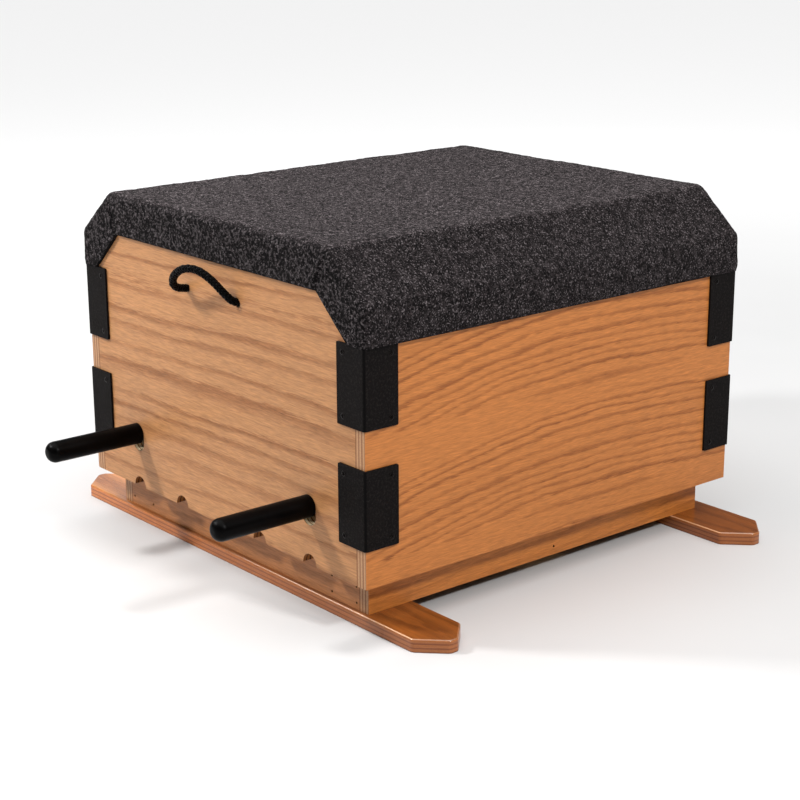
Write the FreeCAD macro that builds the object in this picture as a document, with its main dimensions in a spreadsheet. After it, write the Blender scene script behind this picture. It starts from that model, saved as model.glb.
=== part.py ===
import FreeCAD, Part
import math
import os
import Sketcher

# Height-adjustable plyometric box.
# A carpeted plywood top box slides up and down over a base that stands on two skids.
# Two long round bars with vinyl grips pass through both and carry the top box.
# Millimetres, +Z up, the grip end faces -Y, the origin is the middle of the floor area covered.

# Driving dimensions
SIZES = [
    ("ply", 18.5, "thickness of every plywood board"),
    ("shell_width", 660, "top box over its side panels"),
    ("shell_length", 695, "top box over its end panels"),
    ("shell_bottom", 69.5, "lower edge of the top box above the floor"),
    ("deck_height", 501, "upper face of the deck board above the floor"),
    ("bevel_run", 70, "width of the bevel along each long side"),
    ("bevel_drop", 60, "height of the bevel along each long side"),
    ("carpet_thick", 5, "carpet pile and backing"),
    ("carpet_skirt", 50, "carpet below the foot of the bevel on the long sides"),
    ("carpet_edge_radius", 14, "rounding of the carpet round both ends"),
    ("band_drop", 52, "carpet band over the ends, measured down from the deck"),
    ("band_corner", 239, "half length of the level lower edge of the band"),
    ("band_foot", 293, "half distance between the lower ends of the band"),
    ("bracket_leg", 52.2, "angle bracket, from the wood corner to its free edge"),
    ("bracket_thick", 3.2, "angle bracket plate"),
    ("bracket_height", 108, "angle bracket length along the corner"),
    ("bracket_gap", 52.5, "upper bracket to lower bracket"),
    ("bracket_bend", 4, "outer radius of the bracket's bend"),
    ("bracket_corner", 1.8, "rounded free corners of the bracket"),
    ("bracket_screw_inset", 12, "screw centre from the bracket's edges"),
    ("screw_head_radius", 4.2, "countersunk wood screw, head"),
    ("screw_shank_radius", 2, "countersunk wood screw, shank"),
    ("bracket_screw_length", 19, "wood screw that holds the brackets"),
    ("frame_screw_length", 38, "wood screw that holds the skids"),
    ("trim_head_radius", 1.9, "trim-head screw of the base boards, head"),
    ("trim_shank_radius", 1.3, "trim-head screw of the base boards, shank"),
    ("trim_screw_length", 41, "trim-head screw of the base boards"),
    ("trim_recess", 1.2, "trim-head screws below the face of the board"),
    ("base_inset_side", 30.4, "base side face inside the top box's side face"),
    ("base_inset_end", 27.9, "base end face inside the top box's end face"),
    ("guide_width", 40, "guide strip between top box and base"),
    ("guide_clearance", 0.8, "running gap of the guide strips"),
    ("guide_corner", 22, "side guide strip edge from the base's corner"),
    ("guide_margin", 12, "guide strip ends from the top box's lower edge and the base's top"),
    ("block_width", 84, "base corner block along the end board"),
    ("block_depth", 38, "base corner block along the side board"),
    ("block_height", 70, "base corner block"),
    ("block_screw_edge", 7, "outer block screw from the side board"),
    ("block_screw_pitch", 53, "block screws side by side"),
    ("block_screw_low", 9, "lower block screw above the skid"),
    ("block_screw_rise", 23, "upper block screw above the lower one"),
    ("left_screw_lift", 3, "left block screws above the right ones"),
    ("brace_width", 89, "cross brace along the box"),
    ("brace_height", 38, "cross brace"),
    ("brace_middle", 19, "cross brace behind the middle of the box"),
    ("brace_screw_height", 12.2, "brace screw above the lower edge of the base"),
    ("foot_length", 862, "skid across the box"),
    ("foot_width", 83, "skid along the box"),
    ("foot_thick", 18.3, "skid"),
    ("foot_chamfer", 35, "clipped corners of the skid"),
    ("foot_corner_radius", 9, "eased upright edges of the skid"),
    ("foot_edge_radius", 3, "eased upper edge of the skid"),
    ("front_foot_overhang", 7.5, "front skid beyond the base's front face"),
    ("rear_foot_overhang", 29, "rear skid beyond the base's rear face"),
    ("foot_screw_recess", 1, "skid screw heads above the floor"),
    ("foot_screw_pitch", 44, "skid screws side by side"),
    ("bar_radius", 12.7, "round steel lock bar"),
    ("bar_spacing", 420, "lock bars, centre to centre"),
    ("bar_rise", 83.2, "lock bars above the lower edge of the top box"),
    ("bar_fit", 0.08, "radial running clearance of the bars in the base"),
    ("bar_rest_gap", 0.3, "top of the bar under the top of its slot"),
    ("bar_proud", 11, "bar beyond the rear face of the top box"),
    ("bar_chamfer", 2, "chamfer at the bar's rear end"),
    ("grip_radius", 15.5, "vinyl grip"),
    ("grip_length", 153, "vinyl grip beyond the front face of the top box"),
    ("grip_tip_wall", 6, "vinyl in front of the bar"),
    ("grip_tip_radius", 13, "rounded tip of the grip"),
    ("grip_gap", 0.5, "grip to the front face"),
    ("slot_radius", 15, "half width of the bar slots and radius of the notches"),
    ("slot_rise", 10.7, "height of the slot between its round ends"),
    ("inner_spacing", 192, "inner column of base holes and notches, centre to centre"),
    ("hole_pitch", 50.8, "step of the height setting"),
    ("hole_margin", 22, "topmost hole below the top of the base"),
    ("rope_radius", 5, "braided rope of the handle"),
    ("rope_hole_gap", 0.5, "radial gap of the rope in its holes"),
    ("rope_left", 62, "left rope hole from the middle"),
    ("rope_right", 60, "right rope hole from the middle"),
    ("rope_drop", 50, "rope holes below the edge of the carpet band"),
    ("knot_radius", 11, "stopper knot behind the front panel"),
    ("knot_length", 17, "stopper knot"),
    ("knot_edge_radius", 4.5, "rounded ends of the stopper knot"),
    ("knot_clearance", 8, "stopper knots above the top of the base"),
]

# Derived dimensions, as expressions of the sheet
HALF_WIDTH = "(Dim.shell_width / 2)"
HALF_LENGTH = "(Dim.shell_length / 2)"
INNER_HALF = f"({HALF_WIDTH} - Dim.ply)"
DECK_HALF = f"({HALF_WIDTH} - Dim.bevel_run)"
BEVEL_FOOT = "(Dim.deck_height - Dim.bevel_drop)"
BEVEL_SLANT = "sqrt(Dim.bevel_run ^ 2 + Dim.bevel_drop ^ 2)"
FOOT_MITRE = f"(({BEVEL_SLANT} - Dim.bevel_drop) / Dim.bevel_run)"
DECK_MITRE = f"(({BEVEL_SLANT} - Dim.bevel_run) / Dim.bevel_drop)"
CARPET_EDGE = f"({BEVEL_FOOT} - Dim.carpet_skirt)"
BAND_EDGE = "(Dim.deck_height - Dim.band_drop)"
ROPE_HEIGHT = f"({BAND_EDGE} - Dim.rope_drop)"
BASE_HALF_WIDTH = f"({HALF_WIDTH} - Dim.base_inset_side)"
BASE_HALF_LENGTH = f"({HALF_LENGTH} - Dim.base_inset_end)"
BASE_INNER_HALF = f"({BASE_HALF_WIDTH} - Dim.ply)"
BASE_INNER_END = f"({BASE_HALF_LENGTH} - Dim.ply)"
BASE_TOP = f"({ROPE_HEIGHT} - Dim.knot_radius - Dim.knot_clearance)"
BLOCK_MIDDLE = f"({BASE_INNER_END} - Dim.block_depth / 2)"
BAR_X = "(Dim.bar_spacing / 2)"
INNER_X = "(Dim.inner_spacing / 2)"
GUIDE_MIDDLE = f"(({BAR_X} + {INNER_X}) / 2)"
BAR_HEIGHT = "(Dim.shell_bottom + Dim.bar_rise)"
SLOT_TOP = f"({BAR_HEIGHT} + Dim.bar_radius + Dim.bar_rest_gap - Dim.slot_radius)"
UPPER_BRACKET = f"({CARPET_EDGE} - Dim.bracket_height)"
LOWER_BRACKET = f"({UPPER_BRACKET} - Dim.bracket_gap - Dim.bracket_height)"
ROW_SHIFT = "((Dim.grip_length - Dim.bar_proud) / 2)"

SIDES = {"left": -1, "right": 1}
ENDS = {"front": -1, "rear": 1}

# Route of the rope, from the middle of the box: out of the left hole, over and into the right hole
ROPE_ROUTE = [
    (-62, -358, 399),
    (-55, -376, 409),
    (-40, -384, 426),
    (-14, -385, 441),
    (14, -380, 443),
    (33, -370, 430),
    (47, -360, 412),
    (60, -352, 399),
]
ROPE_ARC_SHARE = 0.45

doc = FreeCAD.newDocument("plyo_box")
sheet = doc.addObject("Spreadsheet::Sheet", "Dim")
for row, (alias, size, note) in enumerate(SIZES, start=1):
    sheet.set(f"A{row}", alias)
    sheet.set(f"B{row}", str(size))
    sheet.setAlias(f"B{row}", alias)
    sheet.set(f"C{row}", note)
doc.recompute()

nodes = []


def value(expression):
    return float(sheet.evalExpression(expression))


def signed(sign, expression):
    return f"{sign} * ({expression})"


# Building blocks

def keep(piece, label):
    piece.Label = label
    nodes.append(piece)
    return piece


def new_body(name):
    body = doc.addObject("PartDesign::Body", name)
    body.setExpression("Placement.Base.y", ROW_SHIFT)
    return body


def new_sketch(body, plane, start="0"):
    sketch = body.newObject("Sketcher::SketchObject", "Sketch")
    roles = {feature.Role: feature for feature in body.Origin.OriginFeatures}
    sketch.AttachmentSupport = (roles[f"{plane}_Plane"], [""])
    sketch.MapMode = "FlatFace"
    # The XZ plane's normal points to -Y
    sketch.setExpression("AttachmentOffset.Base.z", signed(-1 if plane == "XZ" else 1, start))
    return sketch


def bind_point(sketch, geometry, corner, across, up):
    for kind, axis, expression in (("DistanceX", -2, across), ("DistanceY", -1, up)):
        if expression == "0":
            sketch.addConstraint(Sketcher.Constraint("PointOnObject", geometry, corner, axis))
            continue
        rule = Sketcher.Constraint(kind, -1, 1, geometry, corner, value(expression))
        sketch.setExpression(f"Constraints[{sketch.addConstraint(rule)}]", expression)


def draw_polygon(sketch, points):
    corners = [FreeCAD.Vector(value(across), value(up), 0) for across, up in points]
    count = len(corners)
    for index in range(count):
        sketch.addGeometry(Part.LineSegment(corners[index], corners[(index + 1) % count]), False)
    for index in range(count):
        sketch.addConstraint(Sketcher.Constraint("Coincident", index, 2, (index + 1) % count, 1))
    for index, (across, up) in enumerate(points):
        bind_point(sketch, index, 1, across, up)


def draw_circle(sketch, across, up, radius):
    centre = FreeCAD.Vector(value(across), value(up), 0)
    circle = sketch.addGeometry(Part.Circle(centre, FreeCAD.Vector(0, 0, 1), value(radius)), False)
    rule = sketch.addConstraint(Sketcher.Constraint("Radius", circle, value(radius)))
    sketch.setExpression(f"Constraints[{rule}]", radius)
    bind_point(sketch, circle, 3, across, up)


def draw_slot(sketch, across, top, rise, radius):
    upper = FreeCAD.Vector(value(across), value(top), 0)
    lower = upper - FreeCAD.Vector(0, value(rise), 0)
    reach = FreeCAD.Vector(value(radius), 0, 0)
    normal = FreeCAD.Vector(0, 0, 1)
    dome = Part.ArcOfCircle(Part.Circle(upper, normal, value(radius)), 0, math.pi)
    bowl = Part.ArcOfCircle(Part.Circle(lower, normal, value(radius)), math.pi, 2 * math.pi)
    left = Part.LineSegment(upper - reach, lower - reach)
    right = Part.LineSegment(lower + reach, upper + reach)
    dome, left, bowl, right = sketch.addGeometry([dome, left, bowl, right], False)
    for first, second in ((dome, left), (left, bowl), (bowl, right), (right, dome)):
        sketch.addConstraint(Sketcher.Constraint("Tangent", first, 2, second, 1))
    sketch.addConstraint(Sketcher.Constraint("Equal", dome, bowl))
    rule = sketch.addConstraint(Sketcher.Constraint("Radius", dome, value(radius)))
    sketch.setExpression(f"Constraints[{rule}]", radius)
    bind_point(sketch, dome, 3, across, top)
    bind_point(sketch, bowl, 3, across, f"{top} - {rise}")


def pad(body, sketch, length, both_ways=False):
    feature = body.newObject("PartDesign::Pad", "Pad")
    feature.Profile = sketch
    feature.setExpression("Length", length)
    feature.Midplane = both_ways
    feature.Reversed = sketch.AttachmentSupport[0][0].Role == "XZ_Plane"
    doc.recompute()
    return feature


def pocket(body, sketch, length=None):
    before = body.Shape.Volume
    feature = body.newObject("PartDesign::Pocket", "Pocket")
    feature.Profile = sketch
    feature.Midplane = True
    if length is None:
        feature.Type = "ThroughAll"
    else:
        feature.setExpression("Length", length)
    doc.recompute()
    if body.Shape.Volume >= before:
        raise ValueError(f"a pocket in {body.Name} removes nothing")


def revolve(body, sketch):
    feature = body.newObject("PartDesign::Revolution", "Revolution")
    feature.Profile = sketch
    feature.ReferenceAxis = (sketch, ["V_Axis"])
    feature.Angle = 360
    doc.recompute()
    return feature


def round_edges(body, radius, chosen):
    base = body.Tip
    names = [f"Edge{n}" for n, edge in enumerate(base.Shape.Edges, start=1) if chosen(edge)]
    feature = body.newObject("PartDesign::Fillet", "Fillet")
    feature.Base = (base, names)
    feature.setExpression("Radius", radius)
    doc.recompute()


def lies_on(edge, axis, expression):
    level = value(expression)
    return all(abs(vertex.Point[axis] - level) < 1e-4 for vertex in edge.Vertexes)


def runs_along(edge, axis):
    box = edge.BoundBox
    spans = [box.XLength, box.YLength, box.ZLength]
    return all(span < 1e-4 for index, span in enumerate(spans) if index != axis)


def board(name, plane, points, start, thickness, both_ways=False):
    body = new_body(name)
    sketch = new_sketch(body, plane, start)
    draw_polygon(sketch, points)
    pad(body, sketch, thickness, both_ways)
    return body


def rectangle(left, bottom, right, top):
    return [(left, bottom), (right, bottom), (right, top), (left, top)]


def seat(piece, screws):
    piece.Label = piece.Label + "_blank"
    cut = doc.addObject("Part::Cut", piece.Name + "_seated")
    cut.Base = piece
    cut.Tool = screws
    doc.recompute()
    return cut


# Screws

def screw_form(name, head, shank, length):
    body = doc.addObject("PartDesign::Body", name)
    sketch = new_sketch(body, "XZ")
    draw_polygon(sketch, [
        ("0", "0"),
        (head, "0"),
        (shank, f"-({head} - {shank})"),
        (shank, signed(-1, length)),
        ("0", signed(-1, length)),
    ])
    revolve(body, sketch)
    return body


def screw_group(form, label, places):
    shift = FreeCAD.Vector(0, value(ROW_SHIFT), 0)
    up = FreeCAD.Vector(0, 0, 1)
    solids = []
    for point, outward in places:
        spot = FreeCAD.Vector(*(value(expression) for expression in point)) + shift
        turn = FreeCAD.Rotation(up, FreeCAD.Vector(*outward))
        screw = form.Shape.copy()
        screw.Placement = FreeCAD.Placement(spot, turn)
        solids.append(screw.Solids[0])
    group = doc.addObject("Part::Feature", label)
    group.Shape = Part.makeCompound(solids)
    return keep(group, label)


def screw_bores(label, places, radius, depth):
    shift = FreeCAD.Vector(0, value(ROW_SHIFT), 0)
    bores = doc.addObject("Part::Feature", label)
    bores.Shape = Part.makeCompound([
        Part.makeCylinder(
            value(radius),
            value(depth),
            FreeCAD.Vector(*(value(expression) for expression in point)) + shift,
            FreeCAD.Vector(*outward),
        )
        for point, outward in places
    ])
    return bores


HEAD = "Dim.screw_head_radius"
SHANK = "Dim.screw_shank_radius"
TRIM_HEAD = "Dim.trim_head_radius"
short_screw = screw_form("short_screw", HEAD, SHANK, "Dim.bracket_screw_length")
long_screw = screw_form("long_screw", HEAD, SHANK, "Dim.frame_screw_length")
trim_screw = screw_form("trim_screw", TRIM_HEAD, "Dim.trim_shank_radius", "Dim.trim_screw_length")


def bracket_screw_places():
    inset = "(Dim.bracket_leg - Dim.bracket_screw_inset)"
    places = []
    for side in SIDES.values():
        for end in ENDS.values():
            for bottom in (LOWER_BRACKET, UPPER_BRACKET):
                low = f"{bottom} + Dim.bracket_screw_inset"
                high = f"{bottom} + Dim.bracket_height - Dim.bracket_screw_inset"
                for height in (low, high):
                    end_leg = (
                        signed(side, f"{HALF_WIDTH} - {inset}"),
                        signed(end, f"{HALF_LENGTH} + Dim.bracket_thick"),
                        height,
                    )
                    side_leg = (
                        signed(side, f"{HALF_WIDTH} + Dim.bracket_thick"),
                        signed(end, f"{HALF_LENGTH} - {inset}"),
                        height,
                    )
                    places.append((end_leg, (0, end, 0)))
                    places.append((side_leg, (side, 0, 0)))
    return places


def base_end_screw_places():
    right_low = "Dim.foot_thick + Dim.block_screw_low"
    lows = {-1: f"{right_low} + Dim.left_screw_lift", 1: right_low}
    places = []
    for side in SIDES.values():
        low = lows[side]
        for end in ENDS.values():
            for across in ("Dim.block_screw_edge", "(Dim.block_screw_edge + Dim.block_screw_pitch)"):
                for height in (low, f"{low} + Dim.block_screw_rise"):
                    point = (
                        signed(side, f"{BASE_INNER_HALF} - {across}"),
                        signed(end, f"{BASE_HALF_LENGTH} - Dim.trim_recess"),
                        height,
                    )
                    places.append((point, (0, end, 0)))
    return places


def foot_screw_places():
    middle = f"({BASE_INNER_HALF} - Dim.block_width / 2)"
    places = []
    for side in SIDES.values():
        for end in ENDS.values():
            for step in (-1, 1):
                across = f"{middle} + {step} * Dim.foot_screw_pitch / 2"
                point = (signed(side, across), signed(end, BLOCK_MIDDLE), "Dim.foot_screw_recess")
                places.append((point, (0, 0, -1)))
    return places


def brace_screw_places():
    across = f"{BASE_HALF_WIDTH} - Dim.trim_recess"
    height = "Dim.foot_thick + Dim.brace_screw_height"
    return [
        ((signed(side, across), "Dim.brace_middle", height), (side, 0, 0))
        for side in SIDES.values()
    ]


bracket_screws = screw_group(short_screw, "bracket_screws", bracket_screw_places())
base_end_screws = screw_group(trim_screw, "base_end_screws", base_end_screw_places())
foot_screws = screw_group(long_screw, "foot_screws", foot_screw_places())
brace_screws = screw_group(trim_screw, "brace_screws", brace_screw_places())
foot_bores = screw_bores("foot_bores", foot_screw_places(), HEAD, "Dim.foot_screw_recess")
base_end_bores = screw_bores("base_end_bores", base_end_screw_places(), TRIM_HEAD, "Dim.trim_recess")
brace_bores = screw_bores("brace_bores", brace_screw_places(), TRIM_HEAD, "Dim.trim_recess")


# Base

def build_foot(name, near, far):
    half = "(Dim.foot_length / 2)"
    cut_half = f"({half} - Dim.foot_chamfer)"
    body = board(name, "XY", [
        (signed(-1, half), f"{near} + Dim.foot_chamfer"),
        (signed(-1, cut_half), near),
        (cut_half, near),
        (half, f"{near} + Dim.foot_chamfer"),
        (half, f"{far} - Dim.foot_chamfer"),
        (cut_half, far),
        (signed(-1, cut_half), far),
        (signed(-1, half), f"{far} - Dim.foot_chamfer"),
    ], "0", "Dim.foot_thick")
    round_edges(body, "Dim.foot_corner_radius", lambda edge: runs_along(edge, 2))
    round_edges(body, "Dim.foot_edge_radius", lambda edge: lies_on(edge, 2, "Dim.foot_thick"))
    keep(seat(seat(body, foot_screws), foot_bores), name)


def base_hole_places():
    count = math.floor((value(BASE_TOP) - value("Dim.hole_margin") - value(BAR_HEIGHT))
                       / value("Dim.hole_pitch")) + 1
    for step in range(count):
        column = BAR_X if step % 2 == 0 else INNER_X
        for side in SIDES.values():
            yield signed(side, column), f"{BAR_HEIGHT} + {step} * Dim.hole_pitch"


def build_base_end(end):
    sign = ENDS[end]
    start = BASE_INNER_END if sign > 0 else signed(-1, BASE_HALF_LENGTH)
    body = board(
        f"base_end_{end}", "XZ",
        rectangle(signed(-1, BASE_INNER_HALF), "Dim.foot_thick", BASE_INNER_HALF, BASE_TOP),
        start, "Dim.ply",
    )
    sketch = new_sketch(body, "XZ")
    for across, height in base_hole_places():
        draw_circle(sketch, across, height, "Dim.bar_radius + Dim.bar_fit")
    pocket(body, sketch)
    keep(seat(seat(body, base_end_screws), base_end_bores), f"base_end_{end}")


def build_base_side(side):
    start = BASE_INNER_HALF if SIDES[side] > 0 else signed(-1, BASE_HALF_WIDTH)
    body = board(
        f"base_side_{side}", "YZ",
        rectangle(signed(-1, BASE_HALF_LENGTH), "Dim.foot_thick", BASE_HALF_LENGTH, BASE_TOP),
        start, "Dim.ply",
    )
    keep(seat(seat(body, brace_screws), brace_bores), f"base_side_{side}")


def build_base_block(side, end):
    name = f"base_block_{end}_{side}"
    outer = signed(SIDES[side], BASE_INNER_HALF)
    inner = signed(SIDES[side], f"{BASE_INNER_HALF} - Dim.block_width")
    far = signed(ENDS[end], BASE_INNER_END)
    near = signed(ENDS[end], f"{BASE_INNER_END} - Dim.block_depth")
    body = board(name, "XY", rectangle(inner, near, outer, far), "Dim.foot_thick", "Dim.block_height")
    keep(seat(seat(body, base_end_screws), foot_screws), name)


def build_brace():
    body = board("base_brace", "XY", rectangle(
        signed(-1, BASE_INNER_HALF), "Dim.brace_middle - Dim.brace_width / 2",
        BASE_INNER_HALF, "Dim.brace_middle + Dim.brace_width / 2",
    ), "Dim.foot_thick", "Dim.brace_height")
    keep(seat(body, brace_screws), "base_brace")


front_edge = f"(-{BASE_HALF_LENGTH} - Dim.front_foot_overhang)"
rear_edge = f"({BASE_HALF_LENGTH} + Dim.rear_foot_overhang)"
build_foot("foot_front", front_edge, f"({front_edge} + Dim.foot_width)")
build_foot("foot_rear", f"({rear_edge} - Dim.foot_width)", rear_edge)
for end in ENDS:
    build_base_end(end)
for side in SIDES:
    build_base_side(side)
    for end in ENDS:
        build_base_block(side, end)
build_brace()


# Top box

def bevel_foot(offset, side=1):
    return signed(side, f"{HALF_WIDTH} + ({offset})"), f"{BEVEL_FOOT} + ({offset}) * {FOOT_MITRE}"


def deck_corner(offset, side=1):
    return signed(side, f"{DECK_HALF} + ({offset}) * {DECK_MITRE}"), f"Dim.deck_height + ({offset})"


def hood_outline(offset, bottom):
    return [
        (signed(-1, f"{HALF_WIDTH} + ({offset})"), bottom),
        (f"{HALF_WIDTH} + ({offset})", bottom),
        bevel_foot(offset),
        deck_corner(offset),
        deck_corner(offset, -1),
        bevel_foot(offset, -1),
    ]


def build_side_panel(side):
    sign = SIDES[side]
    body = board(f"side_panel_{side}", "XZ", [
        (signed(sign, HALF_WIDTH), "Dim.shell_bottom"),
        bevel_foot("0 * Dim.ply", sign),
        bevel_foot("-Dim.ply", sign),
        (signed(sign, INNER_HALF), "Dim.shell_bottom"),
    ], "0", "Dim.shell_length", True)
    keep(seat(body, bracket_screws), f"side_panel_{side}")


def build_bevel_board(side):
    sign = SIDES[side]
    body = board(f"bevel_board_{side}", "XZ", [
        bevel_foot("0 * Dim.ply", sign),
        deck_corner("0 * Dim.ply", sign),
        deck_corner("-Dim.ply", sign),
        bevel_foot("-Dim.ply", sign),
    ], "0", "Dim.shell_length", True)
    keep(body, f"bevel_board_{side}")


def build_deck():
    keep(board("deck_board", "XZ", [
        deck_corner("0 * Dim.ply"),
        deck_corner("0 * Dim.ply", -1),
        deck_corner("-Dim.ply", -1),
        deck_corner("-Dim.ply"),
    ], "0", "Dim.shell_length", True), "deck_board")


def build_end_panel(end):
    start = f"({HALF_LENGTH} - Dim.ply)" if ENDS[end] > 0 else signed(-1, HALF_LENGTH)
    body = board(f"end_panel_{end}", "XZ", hood_outline("-Dim.ply", "Dim.shell_bottom"), start, "Dim.ply")
    sketch = new_sketch(body, "XZ")
    for side in SIDES.values():
        draw_slot(sketch, signed(side, BAR_X), SLOT_TOP, "Dim.slot_rise", "Dim.slot_radius")
        for column in (BAR_X, INNER_X):
            draw_circle(sketch, signed(side, column), "Dim.shell_bottom", "Dim.slot_radius")
    if end == "front":
        for across in ("-Dim.rope_left", "Dim.rope_right"):
            draw_circle(sketch, across, ROPE_HEIGHT, "Dim.rope_radius + Dim.rope_hole_gap")
    pocket(body, sketch)
    keep(seat(body, bracket_screws), f"end_panel_{end}")


def build_carpet():
    body = new_body("carpet_cover")
    sketch = new_sketch(body, "XZ")
    draw_polygon(sketch, hood_outline("Dim.carpet_thick", CARPET_EDGE))
    pad(body, sketch, "Dim.shell_length + 2 * Dim.carpet_thick", True)
    end_face = f"({HALF_LENGTH} + Dim.carpet_thick)"

    def round_the_end(edge):
        on_end = lies_on(edge, 1, end_face) or lies_on(edge, 1, signed(-1, end_face))
        return on_end and not lies_on(edge, 2, CARPET_EDGE)

    round_edges(body, "Dim.carpet_edge_radius", round_the_end)
    sketch = new_sketch(body, "XZ")
    draw_polygon(sketch, hood_outline("0 * Dim.ply", f"{CARPET_EDGE} - Dim.carpet_thick"))
    pocket(body, sketch, "Dim.shell_length")
    sketch = new_sketch(body, "XZ")
    draw_polygon(sketch, [
        (signed(-1, "Dim.band_foot"), f"{CARPET_EDGE} - Dim.carpet_thick"),
        ("Dim.band_foot", f"{CARPET_EDGE} - Dim.carpet_thick"),
        ("Dim.band_foot", CARPET_EDGE),
        ("Dim.band_corner", BAND_EDGE),
        (signed(-1, "Dim.band_corner"), BAND_EDGE),
        (signed(-1, "Dim.band_foot"), CARPET_EDGE),
    ])
    pocket(body, sketch)
    keep(body, "carpet_cover")


def build_bracket(side, end, level, bottom):
    name = f"bracket_{end}_{side}_{level}"

    def from_corner(inward_x, inward_y):
        across = signed(SIDES[side], f"{HALF_WIDTH} - ({inward_x})")
        along = signed(ENDS[end], f"{HALF_LENGTH} - ({inward_y})")
        return across, along

    plate = "-Dim.bracket_thick"
    body = board(name, "XY", [
        from_corner(plate, plate),
        from_corner("Dim.bracket_leg", plate),
        from_corner("Dim.bracket_leg", "0"),
        from_corner("0", "0"),
        from_corner("0", "Dim.bracket_leg"),
        from_corner(plate, "Dim.bracket_leg"),
    ], bottom, "Dim.bracket_height")
    corner_x, corner_y = from_corner(plate, plate)
    leg_x, leg_y = from_corner("Dim.bracket_leg", "Dim.bracket_leg")

    def bend(edge):
        return runs_along(edge, 2) and lies_on(edge, 0, corner_x) and lies_on(edge, 1, corner_y)

    def free_corner(edge):
        end_leg = runs_along(edge, 1) and lies_on(edge, 0, leg_x)
        side_leg = runs_along(edge, 0) and lies_on(edge, 1, leg_y)
        return end_leg or side_leg

    round_edges(body, "Dim.bracket_bend", bend)
    round_edges(body, "Dim.bracket_corner", free_corner)
    keep(seat(body, bracket_screws), name)


def build_guides():
    side_gap = "(Dim.base_inset_side - Dim.ply - Dim.guide_clearance)"
    end_gap = "(Dim.base_inset_end - Dim.ply - Dim.guide_clearance)"
    low = "(Dim.shell_bottom + Dim.guide_margin)"
    height = f"{BASE_TOP} - Dim.guide_margin - {low}"
    for end, end_sign in ENDS.items():
        for side, side_sign in SIDES.items():
            near = f"({GUIDE_MIDDLE} - Dim.guide_width / 2)"
            wall = f"({HALF_LENGTH} - Dim.ply)"
            body = board(f"guide_{end}_{side}", "XY", rectangle(
                signed(side_sign, near), signed(end_sign, f"{wall} - {end_gap}"),
                signed(side_sign, f"{near} + Dim.guide_width"), signed(end_sign, wall),
            ), low, height)
            keep(body, f"guide_{end}_{side}")
            near = f"({BASE_HALF_LENGTH} - Dim.guide_corner - Dim.guide_width)"
            body = board(f"guide_{side}_{end}", "XY", rectangle(
                signed(side_sign, f"{INNER_HALF} - {side_gap}"), signed(end_sign, near),
                signed(side_sign, INNER_HALF), signed(end_sign, f"{near} + Dim.guide_width"),
            ), low, height)
            keep(body, f"guide_{side}_{end}")


for side in SIDES:
    build_side_panel(side)
    build_bevel_board(side)
    for end in ENDS:
        build_bracket(side, end, "upper", UPPER_BRACKET)
        build_bracket(side, end, "lower", LOWER_BRACKET)
build_deck()
for end in ENDS:
    build_end_panel(end)
build_carpet()
build_guides()


# Rope handle

def rope_path():
    # Straight runs joined by tangent arcs, each arc as large as its two runs allow
    inside = -value(f"{HALF_LENGTH} - Dim.ply")
    height = value(ROPE_HEIGHT)
    points = [FreeCAD.Vector(-value("Dim.rope_left"), inside, height)]
    points += [FreeCAD.Vector(*point) for point in ROPE_ROUTE]
    points.append(FreeCAD.Vector(value("Dim.rope_right"), inside, height))
    edges = []
    start = points[0]
    for before, corner, after in zip(points, points[1:], points[2:]):
        back = before - corner
        ahead = after - corner
        cut = ROPE_ARC_SHARE * min(back.Length, ahead.Length)
        half_turn = (math.pi - back.getAngle(ahead)) / 2
        radius = cut / math.tan(half_turn)
        back.normalize()
        ahead.normalize()
        middle = back + ahead
        middle.normalize()
        enter = corner + back * cut
        leave = corner + ahead * cut
        sagitta = radius * (1 / math.cos(half_turn) - 1)
        edges.append(Part.LineSegment(start, enter).toShape())
        edges.append(Part.Arc(enter, corner + middle * sagitta, leave).toShape())
        start = leave
    edges.append(Part.LineSegment(start, points[-1]).toShape())
    return Part.Wire(edges)


def build_rope():
    path = rope_path()
    radius = value("Dim.rope_radius")
    section = Part.Wire(Part.makeCircle(radius, path.Vertexes[0].Point, FreeCAD.Vector(0, -1, 0)))
    tube = path.makePipeShell([section], True, False)
    print("rope length", round(path.Length, 1))
    rope = doc.addObject("Part::Feature", "rope_handle")
    rope.Shape = tube
    rope.Placement = FreeCAD.Placement(FreeCAD.Vector(0, value(ROW_SHIFT), 0), FreeCAD.Rotation())
    keep(rope, "rope_handle")


def build_knot(side, across):
    inside = f"-({HALF_LENGTH} - Dim.ply)"
    body = new_body(f"rope_knot_{side}")
    body.setExpression("Placement.Base.x", across)
    body.setExpression("Placement.Base.z", ROPE_HEIGHT)
    sketch = new_sketch(body, "XY")
    draw_polygon(sketch, [
        ("0", inside),
        ("Dim.knot_radius", inside),
        ("Dim.knot_radius", f"{inside} + Dim.knot_length"),
        ("0", f"{inside} + Dim.knot_length"),
    ])
    revolve(body, sketch)
    round_edges(body, "Dim.knot_edge_radius", lambda edge: isinstance(edge.Curve, Part.Circle))
    keep(body, f"rope_knot_{side}")


build_rope()
build_knot("left", "-Dim.rope_left")
build_knot("right", "Dim.rope_right")


# Lock bars

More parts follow.
